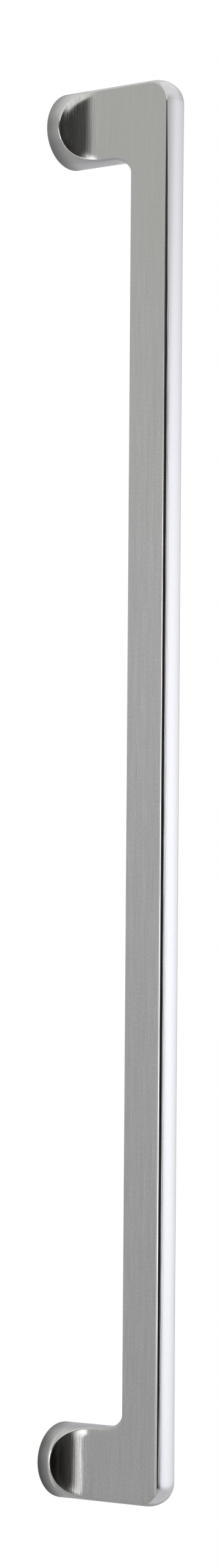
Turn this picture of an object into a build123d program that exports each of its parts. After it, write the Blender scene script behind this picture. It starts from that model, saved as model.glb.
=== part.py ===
from build123d import *
import math
import os

# Door pull handle: one piece of solid stainless steel, a flat upright grip carried on two round feet.
# The door face is the plane Y = 0, the grip stands off towards -Y, and Z is up along the grip.
# The origin is on the door face, midway between the two fixing holes. Sizes are in millimetres.

# Overall sizes
FIXING_CENTRES = 500.0
PROJECTION = 52.0

# Grip and legs: a flat bar, with its front slightly crowned across the thickness
GRIP_DEPTH = 18.5
GRIP_THICKNESS = 10.0
FRONT_CROWN_RADIUS = 20.0

# Feet: a round rim against the door, scooped on both sides down to the flats of the leg
FOOT_DIAMETER = 28.5
FOOT_RIM = 6.3
SCOOP_RADIUS = 15.0

# Corners and edges
OUTER_CORNER_RADIUS = 8.5
INNER_CORNER_RADIUS = 7.0
EDGE_RADIUS = 1.1
BACK_EDGE_RADIUS = 0.5

# Blind hole in the back of each foot, drilled to the tapping size of its thread
TAPPING_DIAMETER = 6.8
HOLE_DEPTH = 14.0
DRILL_POINT_ANGLE = 118.0

# What follows from the sizes above
foot_radius = FOOT_DIAMETER / 2
half_thickness = GRIP_THICKNESS / 2
foot_height = FIXING_CENTRES / 2
half_length = foot_height + foot_radius
grip_back = PROJECTION - GRIP_DEPTH
scoop_rise = foot_radius - half_thickness
scoop_run = math.sqrt(SCOOP_RADIUS**2 - max(SCOOP_RADIUS - scoop_rise, 0) ** 2)
flat_start = FOOT_RIM + scoop_run
crown_drop = FRONT_CROWN_RADIUS - math.sqrt(FRONT_CROWN_RADIUS**2 - half_thickness**2)
flat_end = PROJECTION - crown_drop
hole_radius = TAPPING_DIAMETER / 2
point_length = hole_radius / math.tan(math.radians(DRILL_POINT_ANGLE / 2))
CLOSE = 0.01


def foot_circle(height, radius):
    """Circle on the door face, facing away from the door, on the axis of the foot at this height."""
    return Plane(origin=(0, 0, height), x_dir=(1, 0, 0), z_dir=(0, -1, 0)) * Circle(radius)


def half_plan():
    """The left half of a foot and leg, seen from above: all that lies inside the scoop, flat and front.

    The scoop runs on past the rim as a full quarter round, because the foot's own cylinder trims it.
    """
    outside = -(foot_radius + SCOOP_RADIUS)
    scoop_back = SCOOP_RADIUS - flat_start
    scoop_end = (-half_thickness - SCOOP_RADIUS, scoop_back)
    flat_from = (-half_thickness, -flat_start)
    flat_to = (-half_thickness, -flat_end)
    front = (0, -PROJECTION)
    return make_face(
        [
            Polyline((0, SCOOP_RADIUS), (outside, SCOOP_RADIUS), (outside, scoop_back), scoop_end),
            TangentArc(flat_from, scoop_end, tangent=(0, 1)),
            Line(flat_from, flat_to),
            RadiusArc(flat_to, front, -FRONT_CROWN_RADIUS),
            Line(front, (0, SCOOP_RADIUS)),
        ]
    )


def foot_cylinder(height):
    """Cylinder of a foot, run right through past the front, with the edge against the door softened."""
    cylinder = extrude(foot_circle(height, foot_radius), PROJECTION + foot_radius)
    return fillet(cylinder.edges().sort_by(Axis.Y)[-1], BACK_EDGE_RADIUS)


def side_envelope():
    """The two foot cylinders with the grip between them."""
    grip_front = PROJECTION + foot_radius
    grip_middle = (grip_back + grip_front) / 2
    grip = Pos(0, -grip_middle, 0) * Box(FOOT_DIAMETER, grip_front - grip_back, FIXING_CENTRES)
    return foot_cylinder(-foot_height) + foot_cylinder(foot_height) + grip


def sharp_body():
    """The handle before its corners are rounded: its left half, and that half turned about the Y axis."""
    half = side_envelope() & extrude(half_plan(), half_length, both=True)
    return half + Rot(0, 180, 0) * half


def round_corners(body):
    """Rounds where legs and grip meet, inside and outside, then every edge along the flats and scoops."""
    arcs = body.edges().filter_by(GeomType.CIRCLE)
    body = fillet([e for e in arcs if abs(e.center().Y + grip_back) < CLOSE], INNER_CORNER_RADIUS)
    outside = [e for e in body.edges() if abs(e.center().Z) > foot_height and e.center().Y < -flat_end]
    body = fillet(outside, OUTER_CORNER_RADIUS)
    flats = [f for f in body.faces().filter_by(Axis.X) if f.area > GRIP_DEPTH * FIXING_CENTRES / 2]
    borders = [e for flat in flats for e in flat.edges() if abs(e.center().Y + flat_start) > CLOSE]
    return fillet(borders, EDGE_RADIUS)


def tapped_hole(height):
    """Drilled hole with a cone at its end, running forward from the door face."""
    hole = extrude(foot_circle(height, hole_radius), HOLE_DEPTH)
    tip = Rot(90, 0, 0) * Cone(hole_radius, 0, point_length)
    tip_middle = HOLE_DEPTH + point_length / 2
    return hole + Pos(0, -tip_middle, height) * tip


pull_handle = round_corners(sharp_body()) - tapped_hole(foot_height) - tapped_hole(-foot_height)

os.makedirs("parts", exist_ok=True)
export_step(pull_handle, "parts/pull_handle.step")
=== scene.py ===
import math

import bmesh
import bpy
from mathutils import Euler, Matrix, Vector


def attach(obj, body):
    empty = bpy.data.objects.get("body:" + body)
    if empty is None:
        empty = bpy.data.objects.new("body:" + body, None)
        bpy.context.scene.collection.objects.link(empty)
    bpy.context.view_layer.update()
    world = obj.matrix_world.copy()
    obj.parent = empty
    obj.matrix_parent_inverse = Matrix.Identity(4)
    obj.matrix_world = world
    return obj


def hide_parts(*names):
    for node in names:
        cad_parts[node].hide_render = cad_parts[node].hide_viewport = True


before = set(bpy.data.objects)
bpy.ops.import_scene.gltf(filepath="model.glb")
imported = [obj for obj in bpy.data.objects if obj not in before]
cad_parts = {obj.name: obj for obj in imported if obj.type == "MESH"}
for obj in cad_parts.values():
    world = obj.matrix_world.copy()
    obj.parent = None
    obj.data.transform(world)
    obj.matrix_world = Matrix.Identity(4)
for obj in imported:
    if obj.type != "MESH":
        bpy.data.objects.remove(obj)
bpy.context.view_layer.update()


# The handle is one solid piece of stainless steel. The flat grip bends into two legs, and each leg runs
# out into a round foot through a scoop on either side, with every edge eased by hand. A quarter of its skin
# is a sheet of quads, in rings from the hole in a foot's back to the grip's middle, in millimetres.
MM = 0.001
RIGHT_ANGLE = math.pi / 2
FOOT_HEIGHT = 250.0
PROJECTION = 52.0
GRIP_BACK = 33.5
HALF_THICKNESS = 5.0
FRONT_CROWN = 20.0
NO_CROWN = 1e6
FOOT_RADIUS = 14.25
FOOT_RIM = 6.3
SCOOP_RADIUS = 15.0
OUTER_CORNER_REACH = (8.5, 8.5)
INNER_CORNER_REACH = (10.5, 6.0)
EDGE = 1.1
CORNER_EDGE = 0.4
CRISP_PART = 0.25
BACK_EDGE = 0.5
MOUTH_RADIUS = 4.05
FLAT_FALL = 0.045
FLAT_FALL_WIDTH = 1.5
FLAT_FULL_FALL = 3.0
SCOOP_FALL = 0.37
SCOOP_FALL_WIDTH = 5.5
SCOOP_FULL_FALL = 20.0

CROWN_STEPS = 16
EDGE_STEPS = 7
FLAT_STEPS = 20
BACK_EDGE_STEPS = 4
RIM_STEPS = 3
SCOOP_STEPS = 32
CORNER_STEPS = 14
GRIP_STEPS = 14
HOLD = 0.25
JOIN = 1e-4

edge_line = HALF_THICKNESS - EDGE
edge_reach = FOOT_RADIUS - EDGE
scoop_middle = HALF_THICKNESS + SCOOP_RADIUS
flat_start = FOOT_RIM + math.sqrt(SCOOP_RADIUS**2 - (scoop_middle - FOOT_RADIUS) ** 2)
steepest = math.acos((scoop_middle - edge_reach) / (SCOOP_RADIUS + EDGE))


def between(first, last, part):
    """The value that lies this part of the way from the first to the last."""
    return first + (last - first) * part


def crown_angles(turn, crown):
    """Angles across half a crowned side, evenly spaced, with one more close to its end to hold the edge."""
    held = turn - HOLD / crown
    return [held * i / CROWN_STEPS for i in range(CROWN_STEPS + 1)] + [turn]


def eased_side(crown, edge=EDGE):
    """Half of a crowned side with its eased edge, as pairs: distance from the middle, and drop."""
    edge_start = HALF_THICKNESS - edge
    turn = math.asin(edge_start / (crown - edge))
    edge_drop = crown - (crown - edge) * math.cos(turn)
    points = [(crown * math.sin(a), crown * (1 - math.cos(a))) for a in crown_angles(turn, crown)]
    for i in range(1, EDGE_STEPS + 1):
        a = between(turn, RIGHT_ANGLE, i / EDGE_STEPS)
        points.append((edge_start + edge * math.sin(a), edge_drop - edge * math.cos(a)))
    return points


def ring(outer, inner, sideways=Vector((-1, 0, 0)), scooped=0.0):
    """A ring round half of the handle: one side, the flat between the two eased edges, the other side.

    The flat falls away a little towards its edges, as polishing by hand leaves it, and most in the scoop.
    """
    start, end = outer[-1], inner[-1]
    across = (end - start).length
    width = between(FLAT_FALL_WIDTH, SCOOP_FALL_WIDTH, scooped)
    full_fall = between(FLAT_FULL_FALL, SCOOP_FULL_FALL, scooped)
    swell = sideways * between(FLAT_FALL, SCOOP_FALL, scooped) * min(across / full_fall, 1) ** 2
    flat = []
    for i in range(1, FLAT_STEPS):
        part = (1 - math.cos(math.pi * i / FLAT_STEPS)) / 2
        away = min(min(part, 1 - part) * across / width, 1)
        flat.append(start.lerp(end, part) + swell * (2 - away) * away)
    return outer + flat + inner[::-1]


def foot_ring(upper, *scoop):
    """A ring of the foot, whose lower side mirrors its upper one."""
    lift = Vector((0, 0, FOOT_HEIGHT))
    lower = [lift + Vector((p.x, p.y, -p.z)) for p in upper]
    return ring([lift + p for p in upper], lower, *scoop)


def round_ring(radius, depth):
    """A ring where the foot is round: the flat and its edges are closed up in one point at the side."""
    angles = crown_angles(RIGHT_ANGLE, FOOT_RADIUS) + [RIGHT_ANGLE] * EDGE_STEPS
    return foot_ring([Vector((-radius * math.sin(a), -depth, radius * math.cos(a))) for a in angles])


def scoop_ring(opening):
    """A ring of the scooped part of the foot, where a ball rolled along its edge has come to this angle."""
    ball_x = edge_reach * math.cos(opening)
    slope = math.acos((scoop_middle - ball_x) / (SCOOP_RADIUS + EDGE))
    depth = flat_start - (SCOOP_RADIUS + EDGE) * math.sin(slope)
    ball = Vector((-ball_x, -depth, edge_reach * math.sin(opening)))
    outwards = Vector((-math.cos(opening), 0, math.sin(opening)))
    sideways = Vector((-math.cos(slope), -math.sin(slope), 0))
    upper = []
    for a in crown_angles(RIGHT_ANGLE - opening, FOOT_RADIUS):
        upper.append(Vector((-FOOT_RADIUS * math.sin(a), -depth, FOOT_RADIUS * math.cos(a))))
    for i in range(1, EDGE_STEPS + 1):
        upper.append(ball + EDGE * outwards.slerp(sideways, i / EDGE_STEPS))
    return foot_ring(upper, sideways, slope / steepest)


def corner_side(leg, grip, level, face, inwards, reach, turn):
    """One side of the bar, part of the way through the corner between a leg and the grip."""
    reach_out, reach_up = reach
    side = []
    for (leg_x, leg_drop), (grip_x, grip_drop) in zip(leg, grip):
        x = between(leg_x, grip_x, turn / RIGHT_ANGLE)
        y = face - inwards * grip_drop - reach_out + reach_out * math.sin(turn)
        z = level - inwards * leg_drop - reach_up + reach_up * math.cos(turn)
        side.append(Vector((-x, -y, z)))
    return side


def corner_ring(turn, front_edge=CORNER_EDGE):
    """A ring of the bar, part of the way through the corner, with front edges crisper than the rest."""
    leg = eased_side(FOOT_RADIUS)
    front = eased_side(FRONT_CROWN, front_edge)
    back = eased_side(NO_CROWN)
    top = FOOT_HEIGHT + FOOT_RADIUS
    underside = FOOT_HEIGHT - FOOT_RADIUS
    outer = corner_side(leg, front, top, PROJECTION, 1, OUTER_CORNER_REACH, turn)
    inner = corner_side(leg, back, underside, GRIP_BACK, -1, INNER_CORNER_REACH, turn)
    return ring(outer, inner)


rings = []
back_face = FOOT_RADIUS - BACK_EDGE
for radius in (MOUTH_RADIUS, MOUTH_RADIUS + HOLD, back_face - HOLD, back_face):
    rings.append(round_ring(radius, 0))
for i in range(1, BACK_EDGE_STEPS + 1):
    a = RIGHT_ANGLE * i / BACK_EDGE_STEPS
    rings.append(round_ring(back_face + BACK_EDGE * math.sin(a), BACK_EDGE * (1 - math.cos(a))))
first_scoop = scoop_ring(0)
rim_from = BACK_EDGE + HOLD
rim_to = -first_scoop[0].y - HOLD
for i in range(RIM_STEPS + 1):
    rings.append(round_ring(FOOT_RADIUS, between(rim_from, rim_to, i / RIM_STEPS)))
rings.append(first_scoop)
full_opening = math.acos(edge_line / edge_reach)
for i in range(1, SCOOP_STEPS + 1):
    left = 1 - i / SCOOP_STEPS
    rings.append(scoop_ring(full_opening * (1 - left * left)))
for i in range(CORNER_STEPS + 1):
    rings.append(corner_ring(RIGHT_ANGLE * i / CORNER_STEPS))
for i in range(1, GRIP_STEPS + 1):
    part = (i / GRIP_STEPS) ** 2
    crisp = (1 - min(part / CRISP_PART, 1)) ** 2
    grip_ring = corner_ring(RIGHT_ANGLE, between(EDGE, CORNER_EDGE, crisp))
    rings.append([Vector((p.x, p.y, p.z * (1 - part))) for p in grip_ring])

skin = bmesh.new()
sheet = bmesh.ops.create_grid(skin, x_segments=len(rings[0]) - 1, y_segments=len(rings) - 1)["verts"]
for vert, place in zip(sheet, [place for row in rings for place in row]):
    vert.co = place
bmesh.ops.remove_doubles(skin, verts=skin.verts[:], dist=JOIN)
for axis in ("X", "Z"):
    half_made = skin.verts[:] + skin.edges[:] + skin.faces[:]
    bmesh.ops.mirror(skin, geom=half_made, axis=axis, merge_dist=JOIN)
bmesh.ops.remove_doubles(skin, verts=skin.verts[:], dist=JOIN)

# The fixing hole in the back of each foot is drilled blind and tapped for an M8 bolt. The thread is a
# right-handed groove, cut ring by ring into the wall. It starts in a countersunk mouth and runs out before
# the plain end of the drilling.
TAPPING_RADIUS = 3.4
GROOVE_DEPTH = 0.62
GROOVE_FULLNESS = 1.35
GROOVE_SLOPE = 1.6
PITCH = 1.25
TURNS = 9
RINGS_PER_TURN = 8
HOLE_DEPTH = 14.0
POINT_LENGTH = 2.04
SHARP_ANGLE = math.radians(35)


def thread_radius(depth, around):
    """Radius of the tapped wall at a depth and an angle round the hole."""
    across_groove = abs(2 * ((depth / PITCH - around / (2 * math.pi)) % 1) - 1)
    groove = min(max(GROOVE_FULLNESS - GROOVE_SLOPE * across_groove, 0), 1)
    run_out = min(max(TURNS - depth / PITCH, 0), 1)
    return max(MOUTH_RADIUS - depth, TAPPING_RADIUS + GROOVE_DEPTH * groove * run_out)


def deepen(edges, depth):
    """Draws a hole's open edge further in, as one more ring of its wall, and returns the new open edge."""
    grown = bmesh.ops.extrude_edge_only(skin, edges=edges)["geom"]
    for vert in grown:
        if isinstance(vert, bmesh.types.BMVert):
            middle = math.copysign(FOOT_HEIGHT, vert.co.z)
            around = math.atan2(-vert.co.x, vert.co.z - middle)
            radius = thread_radius(depth, around)
            vert.co = (-radius * math.sin(around), -depth, middle + radius * math.cos(around))
    return [edge for edge in grown if isinstance(edge, bmesh.types.BMEdge) and edge.is_boundary]


for foot in (-1, 1):
    wall = [e for e in skin.edges if e.is_boundary and e.verts[0].co.z * foot > 0]
    for i in range(1, TURNS * RINGS_PER_TURN + 1):
        wall = deepen(wall, i * PITCH / RINGS_PER_TURN)
    wall = deepen(wall, HOLE_DEPTH)
    wall = deepen(wall, HOLE_DEPTH + POINT_LENGTH)
    tip = list({vert for edge in wall for vert in edge.verts})
    bmesh.ops.pointmerge(skin, verts=tip, merge_co=(0, -HOLE_DEPTH - POINT_LENGTH, foot * FOOT_HEIGHT))

bmesh.ops.recalc_face_normals(skin, faces=skin.faces[:])
bmesh.ops.scale(skin, vec=(MM, MM, MM), verts=skin.verts[:])
for face in skin.faces:
    face.smooth = True
handle_mesh = bpy.data.meshes.new("handle")
skin.to_mesh(handle_mesh)
skin.free()
handle_mesh.set_sharp_from_angle(angle=SHARP_ANGLE)
handle = bpy.data.objects.new("handle", handle_mesh)
bpy.context.collection.objects.link(handle)

# The steel is brushed lengthwise to an even satin, calmest on the front and at the upper end, with streaks
# left in the scoops. The rims of the feet are darker and rougher, darkest low on the lower foot, and the
# edges of scoops and front carry a painted highlight, strongest at the lower end. Spans are in millimetres:
# out from the door, up the grip, or sideways from its middle.
STEEL_DARK = (0.37, 0.368, 0.363, 1)
STEEL_LIGHT = (0.95, 0.948, 0.941, 1)
RIM_ABOVE = (0.31, 0.309, 0.302, 1)
RIM_BELOW = (0.17, 0.17, 0.167, 1)
PAINTED_EDGE_HIGHLIGHT = (0.93, 0.93, 0.92, 1)

NOISE_MIDDLE = 0.5
LINES_SHARE = 0.7
SCRATCHES_SHARE = 0.35
BANDS_SHARE = 0.2
SCOOP_STREAKS = 0.8
UPPER_CALM = 0.6
FRONT_CALM = 0.8

FRONT_FACE = (50.6, 51.3)
SCOOP_START = (6.5, 8.0)
SCOOP_END = (14.0, 19.0)
UPPER_END = (120, 250)
LOWER_END = (-230, 100)
LOWER_HALF = (-200, 200)
RIM_FADE = (0.0, 8.5)
LOWER_RIM_TOP = (-243, -235)
SCOOP_LINE_START = (5.0, 5.8)
SCOOP_LINE_END = (6.2, 7.4)
SCOOP_LINE_SIDE = (9, 13)
FRONT_LINE_START = (49.8, 50.4)
FRONT_LINE_END = (50.8, 51.0)
FRONT_LINE_SIDE = (4.4, 4.8)
DULL_RIM = (1.5, 5.5)

LEAST_ROUGHNESS = 0.07
SCRATCH_ROUGHNESS = 0.12
RIM_ROUGHNESS = 0.14
SCOOP_GLOSS = 0.8
SCRATCH_DEPTH = 0.1
SCRATCH_STRENGTH = 0.2
GLOSS_STRETCH = 0.5


class Wire:
    """One socket of a node tree: arithmetic on it adds Math nodes, and make adds any other node."""

    def __init__(self, tree, socket=None):
        self.tree = tree
        self.socket = socket

    def make(self, kind, settings, inputs, output=0):
        """Adds a node, sets it, fills its inputs with numbers or wires, and returns one of its outputs."""
        node = self.tree.nodes.new(kind)
        for name, value in settings.items():
            setattr(node, name, value)
        for key, value in inputs.items():
            if isinstance(value, Wire):
                self.tree.links.new(value.socket, node.inputs[key])
            else:
                node.inputs[key].default_value = value
        return Wire(self.tree, node.outputs[output] if node.outputs else None)

    def math(self, operation, *values):
        return self.make("ShaderNodeMath", {"operation": operation}, dict(enumerate(values)))

    def __add__(self, other):
        return self.math("ADD", self, other)

    def __sub__(self, other):
        return self.math("SUBTRACT", self, other)

    def __rsub__(self, other):
        return self.math("SUBTRACT", other, self)

    def __mul__(self, other):
        return self.math("MULTIPLY", self, other)

    __radd__ = __add__
    __rmul__ = __mul__


def new_tree(owner):
    """Clears the nodes of a material or world and returns a wire to build on."""
    owner.use_nodes = True
    owner.node_tree.nodes.clear()
    return Wire(owner.node_tree)


def own_place():
    """The object's own coordinates, in metres."""
    return nodes.make("ShaderNodeTexCoord", {}, {}, "Object")


def along_axis(axis):
    """The place along one axis of the object."""
    return nodes.make("ShaderNodeSeparateXYZ", {}, {"Vector": own_place()}, axis)


def brushing(across, along, detail):
    """Noise drawn out along the grip: the two sizes are a line's width and length in millimetres."""
    scale = (1 / (across * MM), 1 / (across * MM), 1 / (along * MM))
    stretched = nodes.make("ShaderNodeMapping", {}, {"Vector": own_place(), "Scale": scale})
    return nodes.make("ShaderNodeTexNoise", {}, {"Vector": stretched, "Scale": 1.0, "Detail": detail})


def rise(value, span):
    """A soft step from 0 to 1 as the value goes through a span."""
    low, high = span
    ends = {"Value": value, "From Min": low, "From Max": high}
    return nodes.make("ShaderNodeMapRange", {"interpolation_type": "SMOOTHSTEP"}, ends)


def fall(value, span):
    """A soft step from 1 to 0 as the value goes through a span."""
    return 1 - rise(value, span)


MIX_COLOUR_A, MIX_COLOUR_B, MIX_COLOUR_OUT = 6, 7, 2


def blend(part, first, second):
    """Mixes two colours."""
    inputs = {"Factor": part, MIX_COLOUR_A: first, MIX_COLOUR_B: second}
    return nodes.make("ShaderNodeMix", {"data_type": "RGBA"}, inputs, MIX_COLOUR_OUT)


steel = bpy.data.materials.new("satin_steel")
nodes = new_tree(steel)
out = along_axis("Y") * (-1 / MM)
height = along_axis("Z") * (1 / MM)
side = nodes.math("ABSOLUTE", along_axis("X")) * (1 / MM)
in_scoop = rise(out, SCOOP_START) * fall(out, SCOOP_END)

lines = brushing(across=0.24, along=0.9, detail=3.0)
bands = brushing(across=1.8, along=60, detail=2.0)
scratches = brushing(across=0.3, along=14, detail=1.0)
grain = (lines - NOISE_MIDDLE) * LINES_SHARE + (bands - NOISE_MIDDLE) * BANDS_SHARE
grain = grain + (scratches - NOISE_MIDDLE) * SCRATCHES_SHARE
contrast = (1 - UPPER_CALM * rise(height, UPPER_END)) * (1 - FRONT_CALM * rise(out, FRONT_FACE))
streaks = (scratches - NOISE_MIDDLE) * SCOOP_STREAKS * in_scoop
colour = blend(NOISE_MIDDLE + grain * contrast + streaks, STEEL_DARK, STEEL_LIGHT)

# The rims of the feet are darker than the rest of the steel, darkest on the lower part of the lower foot.
rim_colour = blend(rise(height, LOWER_RIM_TOP), RIM_BELOW, RIM_ABOVE)
colour = blend(fall(out, RIM_FADE), colour, rim_colour)
# Painted highlight: a near-white colour along the edges of the scoops and the front, strongest at the lower
# end, stands in for the bright lines that these edges reflect.
scoop_edge_highlight = rise(out, SCOOP_LINE_START) * fall(out, SCOOP_LINE_END) * rise(side, SCOOP_LINE_SIDE)
front_edge_highlight = rise(out, FRONT_LINE_START) * fall(out, FRONT_LINE_END) * rise(side, FRONT_LINE_SIDE)
colour = blend((scoop_edge_highlight + front_edge_highlight) * fall(height, LOWER_END), colour, PAINTED_EDGE_HIGHLIGHT)

gloss = SCOOP_GLOSS * in_scoop * fall(height, LOWER_HALF)
roughness = LEAST_ROUGHNESS + scratches * SCRATCH_ROUGHNESS * (1 - gloss)
roughness = roughness + RIM_ROUGHNESS * fall(out, DULL_RIM)
cut = {"Height": scratches, "Strength": SCRATCH_STRENGTH, "Distance": SCRATCH_DEPTH * MM}
shader = nodes.make(
    "ShaderNodeBsdfPrincipled",
    {},
    {
        "Base Color": colour,
        "Metallic": 1.0,
        "Roughness": roughness,
        "Anisotropic": GLOSS_STRETCH,
        "Normal": nodes.make("ShaderNodeBump", {}, cut),
    },
)
nodes.make("ShaderNodeOutputMaterial", {}, {"Surface": shader})
handle_mesh.materials.append(steel)
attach(handle, "root")
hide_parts("pull_handle")


# The studio is a plain white floor, well below the handle, and a plain white sky above it. The handle
# hangs clear of the floor at the height that it has on a door.
FLOOR_HEIGHT = -0.55
FLOOR_SIZE = 30.0
WHITE = (1, 1, 1, 1)


def stage_piece(name, bm):
    """Makes an object of the studio, not of the handle, from a finished bmesh."""
    mesh = bpy.data.meshes.new(name)
    bm.to_mesh(mesh)
    bm.free()
    made = bpy.data.objects.new(name, mesh)
    bpy.context.collection.objects.link(made)
    return made


bm = bmesh.new()
bmesh.ops.create_grid(bm, x_segments=8, y_segments=8, size=FLOOR_SIZE)
bmesh.ops.translate(bm, vec=(0, 0, FLOOR_HEIGHT), verts=bm.verts[:])
floor = stage_piece("floor", bm)
white = bpy.data.materials.new("white_floor")
nodes = new_tree(white)
shader = nodes.make("ShaderNodeBsdfDiffuse", {}, {"Color": WHITE})
nodes.make("ShaderNodeOutputMaterial", {}, {"Surface": shader})
floor.data.materials.append(white)

world = bpy.data.worlds.new("white_sky")
bpy.context.scene.world = world
nodes = new_tree(world)
sky = nodes.make("ShaderNodeBackground", {}, {"Color": WHITE, "Strength": 1.0})
nodes.make("ShaderNodeOutputWorld", {}, {"Surface": sky})
world.cycles.sampling_method = "NONE"


# A round backdrop, seen only in the steel, stands about the handle and glows with painted light and shade:
# grey all round, and from the left a bright gap, the dark side where the camera stands, and a wide soft
# light right of the front.
# Spans are in degrees: the bearing runs from the handle's left round to its front, and the slant upwards.
BACKDROP_RADIUS = 1.5
BACKDROP_LIFT = 0.005
DEGREES = 180 / math.pi
FULL_TURN = 360
BEHIND = -150

bm = bmesh.new()
bmesh.ops.create_uvsphere(bm, u_segments=64, v_segments=32, radius=BACKDROP_RADIUS)
for vert in bm.verts:
    vert.co.z = max(vert.co.z, FLOOR_HEIGHT + BACKDROP_LIFT)
backdrop = stage_piece("backdrop", bm)
backdrop.visible_camera = False
backdrop.visible_diffuse = False
backdrop.visible_shadow = False

# The backdrop's glow is painted light and shade, standing in for the studio round the handle.
backdrop_glow = bpy.data.materials.new("backdrop_painted_light")
backdrop_glow.cycles.emission_sampling = "NONE"
nodes = new_tree(backdrop_glow)
across = along_axis("X")
forward = along_axis("Y")
away = nodes.math("SQRT", across * across + forward * forward)
slant = nodes.math("ARCTAN2", along_axis("Z"), away) * DEGREES
bearing = nodes.math("ARCTAN2", -1 * forward, -1 * across) * DEGREES
bearing = bearing + FULL_TURN * nodes.math("LESS_THAN", bearing, BEHIND)

# A grey glow all round, painted paler above and darker below.
GREY_LOW = (0.445, 0.447, 0.452, 1)
GREY_LEVEL = (0.57, 0.572, 0.576, 1)
GREY_HIGH = (0.56, 0.562, 0.543, 1)
GREY_BEHIND = (0.545, 0.55, 0.57, 1)
TOP_LEFT = (0.80, 0.80, 0.79, 1)
HEM_LEFT = (0.43, 0.43, 0.43, 1)
HEM_RIGHT = (0.72, 0.72, 0.74, 1)
LOW_TO_LEVEL = (-22, 12)
LEVEL_TO_HIGH = (6, 20)
BEHIND_LEFT = (-120, -70)
BEHIND_RIGHT = (170, 205)
LEFT_TO_RIGHT = (90, 130)
TOP = (28, 50)
HEM = (-40, -20)
HEM_END = (175, 210)
right = rise(bearing, LEFT_TO_RIGHT)
top = blend(right, TOP_LEFT, WHITE)
hem = blend(right * fall(bearing, HEM_END), HEM_LEFT, HEM_RIGHT)
tone = blend(rise(slant, LOW_TO_LEVEL), GREY_LOW, GREY_LEVEL)
tone = blend(rise(slant, LEVEL_TO_HIGH), tone, GREY_HIGH)
tone = blend(fall(bearing, BEHIND_LEFT) + rise(bearing, BEHIND_RIGHT), tone, GREY_BEHIND)
tone = blend(rise(slant, TOP), tone, top)
tone = blend(fall(slant, HEM), tone, hem)

# The soft light is strongest level with the handle. High up, its near side fades in more slowly.
LIGHT_LEVEL = 0.98
LIGHT_GAIN = 0.53
LIGHT_LOSS = 0.8
LIGHT_TINT = (0.98, 0.99, 1.05)
GAIN_ENDS = (0, 30)
LOSS_STARTS = (-46, -2)
LIGHT_START = 106
LIGHT_FULL = 122
SLOWER_START = 18
SLOWER_ABOVE = (8, 20)
LIGHT_END = (134, 192)
level = LIGHT_LEVEL + LIGHT_GAIN * fall(slant, GAIN_ENDS) - LIGHT_LOSS * fall(slant, LOSS_STARTS)
light = nodes.make("ShaderNodeCombineColor", {}, {i: level * share for i, share in enumerate(LIGHT_TINT)})
light_full = LIGHT_FULL + SLOWER_START * rise(slant, SLOWER_ABOVE)
tone = blend(rise(bearing, (LIGHT_START, light_full)) * fall(bearing, LIGHT_END), tone, light)

# The bright gap is wider and brighter above the lower foot.
GAP_LOW = (1.15, 1.15, 1.14, 1)
GAP_HIGH = (1.7, 1.7, 1.68, 1)
GAP_START = (-5, 5)
GAP_END = (60, 70)
GAP_TOP = (8, 16)
GAP_HEM = (-34, -26)
GAP_WIDENING = 17
GAP_WIDENS = (-14.3, -11)
GAP_BRIGHTENS = (-15, -4)
gap = rise(bearing + GAP_WIDENING * rise(slant, GAP_WIDENS), GAP_START) * fall(bearing, GAP_END)
gap = gap * fall(slant, GAP_TOP) * rise(slant, GAP_HEM)
tone = blend(gap, tone, blend(rise(slant, GAP_BRIGHTENS), GAP_LOW, GAP_HIGH))

# The dark side is darkest just right of the camera, less dark higher up, and open to a pale top.
DARK_LEFT = (0.065, 0.062, 0.058, 1)
DARK_MIDDLE = (0.004, 0.004, 0.004, 1)
DARK_RIGHT = (0.08, 0.076, 0.075, 1)
DARK_LEFT_ABOVE = (0.07, 0.07, 0.066, 1)
DARK_RIGHT_ABOVE = (0.03, 0.03, 0.029, 1)
PALE_TOP = (0.95, 0.945, 0.915, 1)
DARK_MIDDLE_STARTS = (25, 75)
DARK_RIGHT_STARTS = (90, 102)
DARK_ABOVE = (8, 18)
DARK_RIGHT_ABOVE_STARTS = (25, 90)
PALE_TOP_STARTS = (25.5, 28.5)
DARK_START = (-5.7, 28.3)
DARK_START_LEAN = 0.35
DARK_END = (109, 124)
EARLIER_END = 16
EARLIER_ABOVE = (12, 20)
DARK_HEM = (-48, -32)
dark = blend(rise(bearing, DARK_MIDDLE_STARTS), DARK_LEFT, DARK_MIDDLE)
dark = blend(rise(bearing, DARK_RIGHT_STARTS), dark, DARK_RIGHT)
dark_above = blend(rise(bearing, DARK_RIGHT_ABOVE_STARTS), DARK_LEFT_ABOVE, DARK_RIGHT_ABOVE)
dark = blend(rise(slant, DARK_ABOVE), dark, dark_above)
dark = blend(rise(slant, PALE_TOP_STARTS), dark, PALE_TOP)
dark_side = rise(bearing + slant * DARK_START_LEAN, DARK_START) * rise(slant, DARK_HEM)
dark_side = dark_side * fall(bearing + EARLIER_END * rise(slant, EARLIER_ABOVE), DARK_END)
tone = blend(dark_side, tone, dark)

glow = nodes.make("ShaderNodeEmission", {}, {"Color": tone})
nodes.make("ShaderNodeOutputMaterial", {}, {"Surface": glow})
backdrop.data.materials.append(backdrop_glow)


# The camera stands 1.7 m away, to the left of the front and level with the lower part of the grip. It looks
# level, with a slight lean, and its frame is shifted up to take in the whole handle.
IMAGE_HEIGHT = 2576
FOCAL_PIXELS = 7443
SENSOR = 36.0
FRAME_SHIFT = 0.12576
HEADING = math.radians(48.43)
LEAN = 0.0072
CAMERA_PLACE = (-1.2671, -1.1457, -0.0697)
camera_data = bpy.data.cameras.new("camera")
camera_data.sensor_width = SENSOR
camera_data.lens = SENSOR * FOCAL_PIXELS / IMAGE_HEIGHT
camera_data.shift_y = FRAME_SHIFT
camera = bpy.data.objects.new("camera", camera_data)
bpy.context.collection.objects.link(camera)
turned = Euler((RIGHT_ANGLE, 0, -HEADING)).to_matrix() @ Matrix.Rotation(LEAN, 3, "Z")
camera.matrix_world = Matrix.Translation(CAMERA_PLACE) @ turned.to_4x4()
bpy.context.scene.camera = camera
bpy.context.scene.view_settings.view_transform = "Standard"
